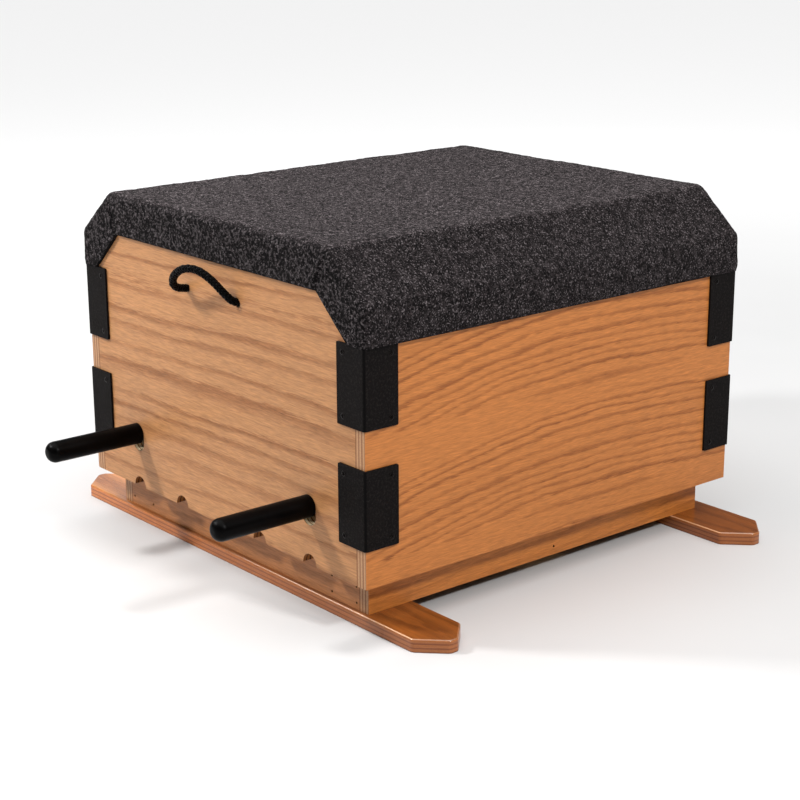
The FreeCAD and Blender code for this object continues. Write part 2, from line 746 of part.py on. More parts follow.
def build_lock_bar(side):
    tip = f"(-{HALF_LENGTH} - Dim.grip_length)"
    bar_start = f"({tip} + Dim.grip_tip_wall)"
    bar_end = f"({HALF_LENGTH} + Dim.bar_proud)"
    grip_end = f"(-{HALF_LENGTH} - Dim.grip_gap)"
    profiles = {
        f"lock_bar_{side}": [
            ("0", bar_start),
            ("Dim.bar_radius", bar_start),
            ("Dim.bar_radius", f"{bar_end} - Dim.bar_chamfer"),
            ("Dim.bar_radius - Dim.bar_chamfer", bar_end),
            ("0", bar_end),
        ],
        f"bar_grip_{side}": [
            ("0", tip),
            ("Dim.grip_radius", tip),
            ("Dim.grip_radius", grip_end),
            ("Dim.bar_radius", grip_end),
            ("Dim.bar_radius", bar_start),
            ("0", bar_start),
        ],
    }
    for name, points in profiles.items():
        body = new_body(name)
        body.setExpression("Placement.Base.x", signed(SIDES[side], BAR_X))
        body.setExpression("Placement.Base.z", BAR_HEIGHT)
        sketch = new_sketch(body, "XY")
        draw_polygon(sketch, points)
        revolve(body, sketch)
        if name.startswith("bar_grip"):
            round_edges(body, "Dim.grip_tip_radius", lambda edge: (
                isinstance(edge.Curve, Part.Circle)
                and lies_on(edge, 1, tip)
            ))
        keep(body, name)


for side in SIDES:
    build_lock_bar(side)

# Checks and export
doc.recompute()
for piece in doc.Objects:
    if "Invalid" in piece.State or "Error" in piece.State:
        raise ValueError(f"{piece.Label} failed: {piece.State}")
for piece in nodes:
    if piece.Shape.isNull() or not piece.Shape.isValid():
        raise ValueError(f"{piece.Label} has no valid shape")

os.makedirs("parts", exist_ok=True)
for piece in nodes:
    piece.Shape.exportStep(f"parts/{piece.Label}.step")
print(len(nodes), "nodes,", sum(len(piece.Shape.Solids) for piece in nodes), "solids")
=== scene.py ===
import math

import bmesh
import bpy
import numpy as np
from mathutils import Matrix, Vector


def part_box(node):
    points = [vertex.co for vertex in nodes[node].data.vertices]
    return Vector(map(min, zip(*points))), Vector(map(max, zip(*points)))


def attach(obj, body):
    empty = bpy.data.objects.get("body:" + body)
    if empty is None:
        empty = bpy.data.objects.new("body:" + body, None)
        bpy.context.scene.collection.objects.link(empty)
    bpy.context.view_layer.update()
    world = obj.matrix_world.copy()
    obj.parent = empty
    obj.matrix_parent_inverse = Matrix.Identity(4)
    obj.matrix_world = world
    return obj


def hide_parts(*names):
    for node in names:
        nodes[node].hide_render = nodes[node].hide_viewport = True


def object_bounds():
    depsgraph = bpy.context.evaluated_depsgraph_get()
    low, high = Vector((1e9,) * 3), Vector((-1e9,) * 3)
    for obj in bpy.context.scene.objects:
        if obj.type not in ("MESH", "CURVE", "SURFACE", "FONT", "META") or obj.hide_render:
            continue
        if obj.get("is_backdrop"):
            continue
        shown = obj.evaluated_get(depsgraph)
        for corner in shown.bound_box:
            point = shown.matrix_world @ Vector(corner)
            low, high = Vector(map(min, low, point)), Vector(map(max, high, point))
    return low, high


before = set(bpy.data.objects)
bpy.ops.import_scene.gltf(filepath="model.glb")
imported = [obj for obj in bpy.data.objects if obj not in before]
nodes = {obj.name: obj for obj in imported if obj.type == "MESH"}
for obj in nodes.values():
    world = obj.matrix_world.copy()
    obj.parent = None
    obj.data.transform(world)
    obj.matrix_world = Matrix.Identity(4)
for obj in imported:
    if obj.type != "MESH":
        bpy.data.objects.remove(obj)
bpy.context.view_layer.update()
scene = bpy.context.scene
scene.view_settings.view_transform = "Standard"

# Sizes read from the solids, in metres
deck_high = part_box("deck_board")[1]
carpet_low, carpet_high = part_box("carpet_cover")
panel_low, panel_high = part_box("end_panel_front")
side_low, side_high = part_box("side_panel_right")
base_low, base_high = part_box("base_end_front")
PLY = side_high.x - side_low.x
PILE = carpet_high.z - deck_high.z

X = Vector((1, 0, 0))
Y = Vector((0, 1, 0))
Z = Vector((0, 0, 1))
ENDS = ("front", "rear")
SIDES = ("left", "right")


def add_object(name, data):
    thing = bpy.data.objects.new(name, data)
    scene.collection.objects.link(thing)
    return thing


# Camera at the photograph's place
CAMERA_PLACE = Vector((2.03211, -1.63664, 0.96592))
CAMERA_FORWARD = Vector((-0.73712, 0.61388, -0.28250)).normalized()
CAMERA_ROLL = math.radians(-0.244167)
FOCAL_PIXELS = 1826.54
IMAGE_PIXELS = 800
SENSOR = 36.0


def make_camera():
    data = bpy.data.cameras.new("camera")
    data.sensor_width = SENSOR
    data.lens = FOCAL_PIXELS * SENSOR / IMAGE_PIXELS
    right = CAMERA_FORWARD.cross(Z).normalized()
    up = right.cross(CAMERA_FORWARD)
    across = right * math.cos(CAMERA_ROLL) + up * math.sin(CAMERA_ROLL)
    upward = up * math.cos(CAMERA_ROLL) - right * math.sin(CAMERA_ROLL)
    turn = Matrix((across, upward, -CAMERA_FORWARD)).transposed()
    camera = add_object("camera", data)
    camera.matrix_world = Matrix.Translation(CAMERA_PLACE) @ turn.to_4x4()
    scene.camera = camera


make_camera()


# Node graphs
class Graph:
    """A material's node graph, with a short call for each kind of node that is used here."""

    def __init__(self, name):
        self.material = bpy.data.materials.new(name)
        self.material.use_nodes = True
        self.tree = self.material.node_tree
        self.tree.nodes.clear()
        self.shader = self.node("BsdfPrincipled")
        output = self.node("OutputMaterial")
        self.tree.links.new(self.shader.outputs["BSDF"], output.inputs["Surface"])
        coordinates = self.node("TexCoord")
        self.place = coordinates.outputs["Object"]
        self.normal = coordinates.outputs["Normal"]

    def node(self, kind):
        return self.tree.nodes.new(f"ShaderNode{kind}")

    def put(self, socket, value):
        """Links a socket, or sets a number or a colour."""
        if isinstance(value, bpy.types.NodeSocket):
            self.tree.links.new(value, socket)
        elif isinstance(value, tuple):
            socket.default_value = (*value, 1.0)
        elif value is not None:
            socket.default_value = value

    def set(self, **values):
        """Values for the shader's sockets, whose names are given with _ for each space."""
        for name, value in values.items():
            self.put(self.shader.inputs[name.replace("_", " ")], value)

    def math(self, operation, first, second=None):
        node = self.node("Math")
        node.operation = operation
        self.put(node.inputs[0], first)
        self.put(node.inputs[1], second)
        return node.outputs[0]

    def add(self, first, second):
        return self.math("ADD", first, second)

    def minus(self, first, second):
        return self.math("SUBTRACT", first, second)

    def times(self, first, second):
        return self.math("MULTIPLY", first, second)

    def over(self, first, second):
        return self.math("DIVIDE", first, second)

    def size(self, value):
        return self.math("ABSOLUTE", value)

    def hypot(self, first, second):
        return self.math("SQRT", self.add(self.times(first, first), self.times(second, second)))

    def dot(self, vector, direction):
        node = self.node("VectorMath")
        node.operation = "DOT_PRODUCT"
        self.put(node.inputs[0], vector)
        node.inputs[1].default_value = direction
        return node.outputs["Value"]

    def vector(self, x, y, z):
        node = self.node("CombineXYZ")
        for socket, value in zip(node.inputs, (x, y, z)):
            self.put(socket, value)
        return node.outputs[0]

    def moved(self, vector, offset):
        node = self.node("VectorMath")
        self.put(node.inputs[0], vector)
        node.inputs[1].default_value = offset
        return node.outputs["Vector"]

    def noise(self, vector, scale=1.0, detail=2.0, roughness=0.5):
        node = self.node("TexNoise")
        self.put(node.inputs["Vector"], vector)
        node.inputs["Scale"].default_value = scale
        node.inputs["Detail"].default_value = detail
        node.inputs["Roughness"].default_value = roughness
        return node.outputs[0]

    def stretched(self, first, second, third, detail=2.0):
        """Noise on three coordinates, each of them a number, or a value and its scale per metre."""
        items = (first, second, third)
        parts = (self.times(*item) if isinstance(item, tuple) else item for item in items)
        return self.noise(self.vector(*parts), detail=detail)

    def step(self, value, low, high, start=0.0, end=1.0):
        """Runs smoothly from start to end while the value goes from low to high."""
        node = self.node("MapRange")
        node.interpolation_type = "SMOOTHSTEP"
        for socket, item in zip(node.inputs, (value, low, high, start, end)):
            self.put(socket, item)
        return node.outputs[0]

    def spread(self, value, low, high):
        """Noise, which lies about 0.5, spread to run from low to high."""
        node = self.node("MapRange")
        for socket, item in zip(node.inputs, (value, 0.25, 0.75, low, high)):
            self.put(socket, item)
        return node.outputs[0]

    def mix(self, share, first, second, blend="MIX"):
        node = self.node("Mix")
        node.data_type = "RGBA"
        node.blend_type = blend
        self.put(node.inputs["Factor"], share)
        sockets = [s for s in node.inputs if s.type == "RGBA"]
        for socket, value in zip(sockets, (first, second)):
            self.put(socket, value)
        return next(s for s in node.outputs if s.type == "RGBA")

    def lay(self, base, tone, pattern, reach, share, where=None):
        """A tone over the base. Its share runs between two values as the pattern goes through its reach,
        and where narrows it to one part of the surface."""
        cover = self.step(pattern, *reach, *share)
        if where is not None:
            cover = self.times(where, cover)
        return self.mix(cover, base, tone)

    def ramp(self, value, stops):
        node = self.node("ValToRGB")
        self.put(node.inputs[0], value)
        elements = node.color_ramp.elements
        while len(elements) < len(stops):
            elements.new(1.0)
        for element, (position, tone) in zip(elements, stops):
            element.position = position
            element.color = (*tone, 1.0)
        return node.outputs[0]

    def bump(self, height, depth, strength):
        node = self.node("Bump")
        node.inputs["Strength"].default_value = strength
        node.inputs["Distance"].default_value = depth
        self.put(node.inputs["Height"], height)
        self.put(self.shader.inputs["Normal"], node.outputs[0])


def colour(red, green, blue):
    """Linear colour of an 8-bit display colour."""
    return tuple(
        (v / 12.92 if v <= 0.04045 else ((v + 0.055) / 1.055) ** 2.4)
        for v in (red / 255, green / 255, blue / 255)
    )


def scaled(tone, share):
    return tuple(share * part for part in tone)


def dress(material, *names):
    """Gives a material to CAD nodes."""
    for name in names:
        slots = nodes[name].data.materials
        slots.clear()
        slots.append(material)


# Red oak plywood: plain-sliced face veneer with cathedral figure, layered edges
# An edge's three tones are those of its cream plies, its cross plies and its glue lines
EDGE = (colour(192, 146, 106), colour(134, 84, 46), colour(76, 46, 24))
# Cut edges are darker, partly their own tone and partly painted shade in the notches and slots
CUT_EDGE_PAINTED_SHADE = (colour(150, 96, 50), colour(62, 33, 12), colour(34, 18, 8))
# Edges that face up are painted paler, as painted light from above
LIP_PAINTED_LIGHT = (colour(228, 206, 168), colour(150, 104, 60), colour(92, 58, 30))
SKID_EDGE = (colour(208, 126, 66), colour(156, 84, 38), colour(92, 46, 20))
# What lies where in the thickness of a board, from its lower face to its upper one
LAYERS = (
    (0.00, "face"), (0.035, "face"), (0.05, "glue"),
    (0.075, "cream"), (0.26, "cream"), (0.285, "cross"), (0.36, "cross"),
    (0.385, "cream"), (0.585, "cream"), (0.61, "cross"), (0.70, "cross"),
    (0.725, "cream"), (0.915, "cream"),
    (0.94, "glue"), (0.965, "face"), (1.0, "face"),
)
LAYER_WAVE = 0.012
# How far the rings stray from their spacing, and how far the tufts bend their edges beside the fibres
RING_STRAY = 0.45
TUFT_SHARE = 0.6
# Weakest and strongest figure, along a ring and from fibre to fibre
RING_STRENGTH = (0.25, 1.0)
FIBRE_STRENGTH = (0.55, 1.25)
# Where the figure fades at the plain part of a leaf, in metres, and how much of it is left there
LEAF_FADE = (-0.002, 0.010)
LEAF_REST = 0.12
# Noise that counts as a pore, the pores' share of the colour, and their tone beside the dark wood's
PORE_REACH = (0.56, 0.72)
PORE_SHARE = 0.62
PORE_TONE = 0.42
# Fine light and shade on the face: scales along and across the grain, an offset and a share
FINE_SHADE = ((36.0, 360.0, 41, 0.14), (60.0, 800.0, 47, 0.18))
# The dark line at a joint, in metres from its middle
JOINT_REACH = (0.0004, 0.0015)
# A normal's share along the board's thickness, on its edges, its roundings and its faces
FACE_REACH = (0.62, 0.80)
ROUND_START = (0.50, 0.72)
ROUND_STOP = (0.90, 0.97)
COAT_REACH = (0.3, 0.8)
EDGE_COAT = 0.25
# Painted light on the skids' edges: paler at the left end than at the right one, as lit from the left
SKID_PAINTED_LIGHT = (1.35, 0.78)
OAK_RELIEF = 0.00025


def oak(name, grain, across, through, start, light, dark, seed, heart=0.0, spacing=0.017, slope=0.05,
        round_heart=0.03, sway=0.02, wave=0.0035, band=(0.10, 0.72), ragged=0.14, contrast=1.0,
        joints=(), edge=EDGE, gloss=0.46, coat=None, pale=None, leaves=None, bend=None, lip_painted_light=None,
        painted_glint=None):
    """grain, across and through are the board's directions, and start is its lower face along through.
    heart is where the figure's middle lies across the grain, and band is the dark part of each ring.
    joints are the x of the lines where the face meets another board. pale gives where along the grain
    paler wood begins, where it is full, and its two tones; the pale end is partly paler wood and partly
    painted light, and pale also paints the edges lighter towards that end and darker towards the other.
    leaves gives a joint of the veneer, a leaf's width and how much of it is plain; bend gives where the
    rings turn along the grain and how fast they fall away before and after. lip_painted_light paints the
    edges that face up paler, as painted light from above, and painted_glint paints a highlight on the
    rounded ones. coat is a lacquer's weight, roughness and index of refraction."""
    graph = Graph(name)
    along = graph.dot(graph.place, grain)
    wide = graph.dot(graph.place, across)
    deep = graph.dot(graph.place, through)

    def streaks(along_scale, wide_scale, offset, detail=2.0):
        return graph.stretched((along, along_scale), (wide, wide_scale), seed + offset, detail)

    # Growth rings as the veneer knife meets them
    drift = graph.spread(streaks(1.7, 4.5, 0), -sway, sway)
    ripple = graph.spread(streaks(8.0, 20.0, 3), -wave, wave)
    if leaves:
        joint, leaf_width, plain_width = leaves
        leaf = graph.over(graph.minus(wide, joint), leaf_width)
        from_heart = graph.times(graph.math("FRACT", leaf), leaf_width)
    else:
        from_heart = graph.minus(wide, heart)
    off_heart = graph.add(graph.add(from_heart, drift), ripple)
    radius = graph.math("SQRT", graph.add(graph.times(off_heart, off_heart), round_heart ** 2))
    ring_depth = graph.add(radius, graph.times(along, slope))
    if bend:
        turn = graph.minus(along, bend[0])
        for part, rate in zip(("MINIMUM", "MAXIMUM"), bend[1:]):
            run = graph.math(part, turn, 0.0)
            ring_depth = graph.add(ring_depth, graph.times(graph.times(run, run), rate))
    uneven = graph.stretched((ring_depth, 22.0), seed, 0.0, detail=1.0)
    ring = graph.add(graph.over(ring_depth, spacing), graph.spread(uneven, -RING_STRAY, RING_STRAY))

    # The rings' dark bands, with edges that the fibres make ragged
    fibre = streaks(38.0, 620.0, 7, 3.0)
    tuft = streaks(13.0, 150.0, 9)
    coarse = TUFT_SHARE * ragged
    teeth = graph.add(graph.spread(fibre, -ragged, ragged), graph.spread(tuft, -coarse, coarse))
    phase = graph.math("FRACT", graph.add(ring, teeth))
    rise, fall = band
    early = graph.times(graph.step(phase, 0.0, rise), graph.step(phase, rise + 0.02, fall, 1.0, 0.0))
    strength = graph.stretched((along, 2.4), (ring_depth, 45.0), seed + 11, detail=1.0)
    figure = graph.times(early, graph.spread(strength, *RING_STRENGTH))
    figure = graph.times(figure, graph.spread(fibre, *scaled(FIBRE_STRENGTH, contrast)))
    if leaves:
        fade = (leaf_width - plain_width + offset for offset in LEAF_FADE)
        figure = graph.times(figure, graph.step(ring_depth, *fade, 1.0, LEAF_REST))

    # Open pores, densest in the early wood
    pore = graph.step(streaks(75.0, 1500.0, 17, 1.0), *PORE_REACH)
    pore = graph.times(pore, graph.add(graph.times(figure, 0.75), 0.22))

    # The face's tones: figure, clouds, fibres, fine shade, pores and the lines at joints
    face = graph.mix(figure, light, dark)
    # The pale end is partly paler wood and partly painted light
    if pale:
        pale_from, pale_full, pale_light, pale_dark = pale
        here = graph.add(along, graph.spread(tuft, -0.05, 0.05))
        pale_face = graph.mix(figure, pale_light, pale_dark)
        face = graph.mix(graph.step(here, pale_from, pale_full), face, pale_face)
    face = graph.mix(graph.spread(streaks(2.2, 9.0, 23), 0.0, 0.30), face, scaled(light, 0.70))
    face = graph.mix(graph.spread(fibre, 0.0, 0.16), face, scaled(light, 1.12))
    for along_scale, wide_scale, offset, share in FINE_SHADE:
        shade = graph.spread(streaks(along_scale, wide_scale, offset), 1 - share, 1 + share)
        face = graph.mix(1.0, face, shade, "MULTIPLY")
    face = graph.mix(graph.times(pore, PORE_SHARE), face, scaled(dark, PORE_TONE))
    for joint_x in joints:
        gap = graph.size(graph.minus(graph.dot(graph.place, X), joint_x))
        face = graph.lay(face, scaled(dark, 0.12), gap, JOINT_REACH, (0.85, 0.0))

    # Layers on the edges
    layer = graph.over(graph.minus(deep, start), PLY)
    layer = graph.add(layer, graph.spread(streaks(14.0, 14.0, 31), -LAYER_WAVE, LAYER_WAVE))

    def laid_up(cream, cross, glue):
        tones = {"face": light, "cream": cream, "cross": cross, "glue": glue}
        return graph.ramp(layer, [(place, tones[kind]) for place, kind in LAYERS])

    plies = laid_up(*edge)
    cross_tone = edge[1]
    speck = graph.stretched((along, 420.0), (wide, 420.0), (deep, 900.0))
    plies = graph.mix(graph.spread(speck, 0.0, 0.38), plies, scaled(cross_tone, 0.5))
    # Painted light: the edges are lighter towards the pale end and darker towards the other
    if pale:
        shade = graph.step(along, pale_full, -pale_full, *SKID_PAINTED_LIGHT)
        plies = graph.mix(1.0, plies, shade, "MULTIPLY")
    # Painted light: the edges that face up are painted paler, as if lit from above
    if lip_painted_light:
        plies = graph.lay(plies, laid_up(*lip_painted_light), graph.dot(graph.normal, Z), (0.1, 0.6), (0.0, 1.0))

    facing = graph.size(graph.dot(graph.normal, through))
    on_face = graph.step(facing, *FACE_REACH)
    surface = graph.mix(on_face, plies, face)
    if painted_glint:
        # Dark streaks on the edges, and a painted highlight on the roundings, more to the right and less
        # at the ends
        streak = graph.stretched((along, 45.0), (deep, 1600.0), seed)
        on_edge = graph.step(on_face, 0.0, 0.5, 1.0, 0.0)
        streak = graph.times(on_edge, graph.spread(streak, 0.0, 0.6))
        surface = graph.mix(streak, surface, scaled(cross_tone, 0.55))
        rounded = graph.times(graph.step(facing, *ROUND_START), graph.step(facing, *ROUND_STOP, 1.0, 0.0))
        rounded = graph.times(rounded, graph.step(along, -0.10, 0.25, 0.1, 1.0))
        endways = graph.size(graph.dot(graph.normal, grain))
        rounded = graph.times(rounded, graph.step(endways, 0.1, 0.4, 1.0, 0.2))
        surface = graph.mix(graph.times(rounded, graph.spread(tuft, 0.55, 0.95)), surface, painted_glint)
    graph.set(Base_Color=surface)
    graph.set(Roughness=graph.add(graph.times(figure, 0.10), gloss))
    graph.set(Specular_IOR_Level=0.32)
    if coat:
        weight, roughness, index = coat
        graph.set(Coat_Weight=graph.step(facing, *COAT_REACH, EDGE_COAT * weight, weight))
        graph.set(Coat_Roughness=roughness, Coat_IOR=index)
    graph.bump(graph.minus(graph.times(fibre, 0.5), pore), OAK_RELIEF, 0.5)
    return graph.material


def board(node, name, grain, across, through, seed, start=None, **look):
    """Dresses a node in oak. Its layers start at its lower face along through, or where start says."""
    if start is None:
        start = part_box(node)[0].dot(through)
    dress(oak(name, grain, across, through, start, seed=seed, **look), node)


PANEL_TONES = dict(light=colour(184, 130, 83), dark=colour(144, 89, 50))
END_PANEL = dict(
    PANEL_TONES, heart=0.56, spacing=0.033, slope=0.025, round_heart=0.05, sway=0.008, wave=0.0026,
    band=(0.20, 0.60), ragged=0.13, contrast=1.25, joints=(panel_low.x, panel_high.x),
    edge=CUT_EDGE_PAINTED_SHADE, lip_painted_light=LIP_PAINTED_LIGHT,
)
SIDE_PANEL = dict(
    light=colour(188, 116, 56), dark=colour(131, 70, 28), spacing=0.0150, slope=0.0, round_heart=0.0,
    sway=0.007, wave=0.003, band=(0.16, 0.58), ragged=0.16, contrast=1.25,
    leaves=(0.272, 0.170, 0.027), bend=(0.12, 0.36, 0.15),
)
BASE_END = dict(
    light=colour(182, 120, 72), dark=colour(138, 84, 46), heart=0.10, spacing=0.019, sway=0.012,
    contrast=0.6, joints=(base_low.x, base_high.x), edge=CUT_EDGE_PAINTED_SHADE,
)
BASE_SIDE = dict(light=colour(198, 121, 54), dark=colour(150, 83, 32), heart=0.18, contrast=0.8)
SKID = dict(
    light=colour(140, 78, 32), dark=colour(98, 49, 17), spacing=0.014, slope=0.03, contrast=1.2,
    # The roundings get a painted highlight; the pale left end is partly paler wood and partly painted
    # light
    edge=SKID_EDGE, gloss=0.30, coat=(0.8, 0.11, 1.6), painted_glint=colour(236, 188, 146),
    pale=(-0.20, -0.40, colour(232, 155, 82), colour(144, 78, 34)),
)
SKID_HEART = 0.03

for end, seed in zip(ENDS, (1.3, 27.9)):
    board(f"end_panel_{end}", f"oak_end_{end}", X, Z, Y, seed, **END_PANEL)
    board(f"base_end_{end}", f"oak_base_end_{end}", X, Z, Y, seed + 5, **BASE_END)
    skid_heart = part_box(f"foot_{end}")[0].y + SKID_HEART
    board(f"foot_{end}", f"oak_skid_{end}", X, Y, Z, seed + 9, heart=skid_heart, **SKID)
for side, seed in zip(SIDES, (41.7, 63.1)):
    board(f"side_panel_{side}", f"oak_side_{side}", Y, Z, X, seed, **SIDE_PANEL)
    board(f"base_side_{side}", f"oak_base_side_{side}", Y, Z, X, seed + 5, **BASE_SIDE)
board("deck_board", "oak_deck", Y, X, Z, 77.0, heart=0.06, **PANEL_TONES)
for side, sign in zip(SIDES, (-1, 1)):
    low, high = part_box(f"bevel_board_{side}")
    outward = Vector((sign * (high.z - low.z), 0, high.x - low.x)).normalized()
    foot = Vector((high.x if sign > 0 else low.x, 0, low.z))
    board(f"bevel_board_{side}", f"oak_bevel_{side}", Y, outward.cross(Y), outward, 91.0 + sign,
          foot.dot(outward) - PLY, **PANEL_TONES)


# Softwood of the inner blocks, brace and guide strips
PINE_RING = 0.0042
PINE_SWAY = 0.006
PINE_HEART = (-0.09, -0.04)
PINE_EARLY = colour(226, 190, 138)
PINE_LATE = colour(188, 132, 78)
PINE_FIBRE = colour(204, 158, 104)


def softwood(name, grain, seed):
    graph = Graph(name)
    along = graph.dot(graph.place, grain)
    first, second = (graph.dot(graph.place, axis) for axis in (X, Y, Z) if axis != grain)
    sway = graph.spread(graph.stretched((along, 3.0), (first, 12.0), seed), -PINE_SWAY, PINE_SWAY)
    first = graph.minus(graph.add(first, sway), PINE_HEART[0])
    second = graph.minus(second, PINE_HEART[1])
    phase = graph.math("FRACT", graph.over(graph.hypot(first, second), PINE_RING))
    late = graph.times(graph.step(phase, 0.35, 0.92), graph.step(phase, 0.94, 1.0, 1.0, 0.0))
    fibre = graph.stretched((along, 22.0), (first, 500.0), (second, 500.0), detail=3.0)
    wood = graph.mix(late, PINE_EARLY, PINE_LATE)
    wood = graph.mix(graph.spread(fibre, 0.0, 0.35), wood, PINE_FIBRE)
    graph.set(Base_Color=wood, Roughness=graph.spread(fibre, 0.55, 0.70), Specular_IOR_Level=0.35)
    graph.bump(fibre, 0.0003, 0.5)
    return graph.material


upright_pine = softwood("pine_upright", Z, 5.0)
cross_pine = softwood("pine_cross", X, 9.0)
for end in ENDS:
    for side in SIDES:
        dress(upright_pine, f"guide_{end}_{side}", f"guide_{side}_{end}")
        dress(cross_pine, f"base_block_{end}_{side}")
dress(cross_pine, "base_brace")


# Black powder coat with a fine, mottled texture
def powder_coat():
    graph = Graph("powder_coat")
    grain = graph.noise(graph.place, 1100.0)
    mottle = graph.noise(graph.place, 300.0, roughness=0.6)
    cloud = graph.noise(graph.place, 26.0, 3.0)
    tone = graph.mix(graph.spread(cloud, 0.0, 1.0), colour(11, 8, 8), colour(17, 14, 13))
    tone = graph.lay(tone, colour(38, 34, 32), mottle, (0.48, 0.66), (0.0, 0.45))
    tone = graph.lay(tone, colour(60, 57, 55), grain, (0.60, 0.75), (0.0, 0.22))
    # The coat is darker round the bend
    x, y, z = (graph.size(graph.dot(graph.normal, axis)) for axis in (X, Y, Z))
    flat = graph.math("MAXIMUM", graph.math("MAXIMUM", x, y), z)
    tone = graph.lay(tone, colour(5, 4, 4), flat, (0.86, 0.99), (0.9, 0.0))
    graph.set(Base_Color=tone, Roughness=graph.spread(cloud, 0.58, 0.70), Specular_IOR_Level=0.06)
    graph.bump(graph.add(grain, graph.times(mottle, 0.8)), 0.0004, 0.75)
    return graph.material


dress(powder_coat(), *(
    f"bracket_{end}_{side}_{level}" for end in ENDS for side in SIDES for level in ("upper", "lower")
))


# Dipped vinyl grips
SOFT_BLACK = (colour(2, 2, 2), colour(5, 4, 4))


def vinyl():
    graph = Graph("vinyl")
    skin = graph.noise(graph.place, 380.0)
    cloud = graph.noise(graph.place, 34.0, 3.0)
    tone = graph.mix(graph.spread(cloud, 0.0, 1.0), *SOFT_BLACK)
    graph.set(Base_Color=tone, Roughness=graph.spread(cloud, 0.30, 0.42), Specular_IOR_Level=0.045)
    graph.bump(graph.add(graph.times(skin, 0.35), cloud), 0.0006, 0.35)
    return graph.material


dress(vinyl(), "bar_grip_left", "bar_grip_right")


# Steel of the lock bars, drawn along y, and of the screws
def steel(name, tone, smooth, rough):
    graph = Graph(name)
    x, y, z = (graph.dot(graph.place, axis) for axis in (X, Y, Z))
    streak = graph.stretched((x, 900.0), (y, 12.0), (z, 900.0))
    cloud = graph.noise(graph.place, 40.0)
    shade = graph.mix(graph.spread(cloud, 0.0, 0.6), tone, scaled(tone, 0.55))
    graph.set(Base_Color=shade, Metallic=1.0, Roughness=graph.spread(streak, smooth, rough))
    graph.bump(streak, 0.0001, 0.3)
    return graph.material


bar_steel = steel("bar_steel", colour(186, 184, 180), 0.24, 0.42)
black_screw = steel("black_screw", colour(30, 27, 26), 0.36, 0.52)
dark_screw = steel("dark_screw", colour(30, 24, 18), 0.40, 0.56)
zinc_screw = steel("zinc_screw", colour(150, 140, 118), 0.30, 0.46)
dress(bar_steel, "lock_bar_left", "lock_bar_right")


# New pieces
def make_piece(name, mesh, material, body):
    piece = add_object(name, mesh)
    mesh.materials.append(material)
    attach(piece, body)
    return piece


def mesh_of(name, points, faces, smooth=True):
    mesh = bpy.data.meshes.new(name)
    mesh.from_pydata([tuple(p) for p in points], [], [tuple(f) for f in faces])
    mesh.update()
    if smooth:
        mesh.polygons.foreach_set("use_smooth", [True] * len(mesh.polygons))
    return mesh


def grid_faces(rows, columns, start=0, closed=False):
    """Quads of a grid of points that run along its rows, closed round each row where asked."""
    faces = []
    last = columns if closed else columns - 1
    for row in range(rows - 1):
        here = start + row * columns
        above = here + columns
        for column in range(last):
            after = (column + 1) % columns
            faces.append((here + column, here + after, above + after, above + column))
    return faces


def unit(vectors):
    return vectors / np.maximum(np.linalg.norm(vectors, axis=-1, keepdims=True), 1e-12)


# Screw heads with a cross recess, whose sizes are shares of the head's radius
HEAD_RINGS = 11
HEAD_SIDES = 40
HEAD_RIM = 0.25
RECESS_DEPTH = 0.42
WING_HALF_WIDTH = 0.24
WING_SIDE = 0.09
WING_LENGTH = 0.62
WING_END = 0.16


def screw_places(node):
    """Each screw head's middle, the way it faces and its radius, found from the screws' solids."""
    copy = bmesh.new()
    copy.from_mesh(nodes[node].data)
    bmesh.ops.remove_doubles(copy, verts=copy.verts, dist=1e-5)
    unseen = set(copy.verts)
    places = []
    for first in list(copy.verts):
        if first not in unseen:
            continue
        unseen.remove(first)
        part, waiting = [first], [first]
        while waiting:
            for edge in waiting.pop().link_edges:
                for vert in edge.verts:
                    if vert in unseen:
                        unseen.remove(vert)
                        part.append(vert)
                        waiting.append(vert)
        points = np.array([v.co for v in part])
        low, high = points.min(axis=0), points.max(axis=0)
        middle = (low + high) / 2
        axis = int(np.argmax(high - low))
        across = np.linalg.norm(np.delete(points - middle, axis, axis=1), axis=1)
        facing = np.zeros(3)
        facing[axis] = math.copysign(1.0, points[np.argmax(across), axis] - middle[axis])
        middle[axis] = high[axis] if facing[axis] > 0 else low[axis]
        places.append((middle, facing, float(across.max())))
    copy.free()
    return places


def wing(width, length):
    """How deep a wing of the recess is, from 0 to 1, at a place across and along it."""
    side = np.clip((WING_HALF_WIDTH - abs(width)) / WING_SIDE, 0, 1)
    end = np.clip((WING_LENGTH - abs(length)) / WING_END, 0, 1)
    return side * end


def head_shape(dome):
    """A head of radius 1 that faces along z: its middle, its rings outward, and its rim's lower edge."""
    angle = np.linspace(0.0, 2 * math.pi, HEAD_SIDES, endpoint=False)
    share = np.linspace(0.0, 1.0, HEAD_RINGS)[1:]
    x, y = (np.outer(share, part(angle)) for part in (np.cos, np.sin))
    height = dome * (1 - share ** 2)[:, None] - RECESS_DEPTH * np.maximum(wing(x, y), wing(y, x))
    rings = np.stack([x, y, height], axis=-1).reshape(-1, 3)
    rim = rings[-HEAD_SIDES:] - (0.0, 0.0, HEAD_RIM)
    return np.concatenate([[(0.0, 0.0, dome - RECESS_DEPTH)], rings, rim])


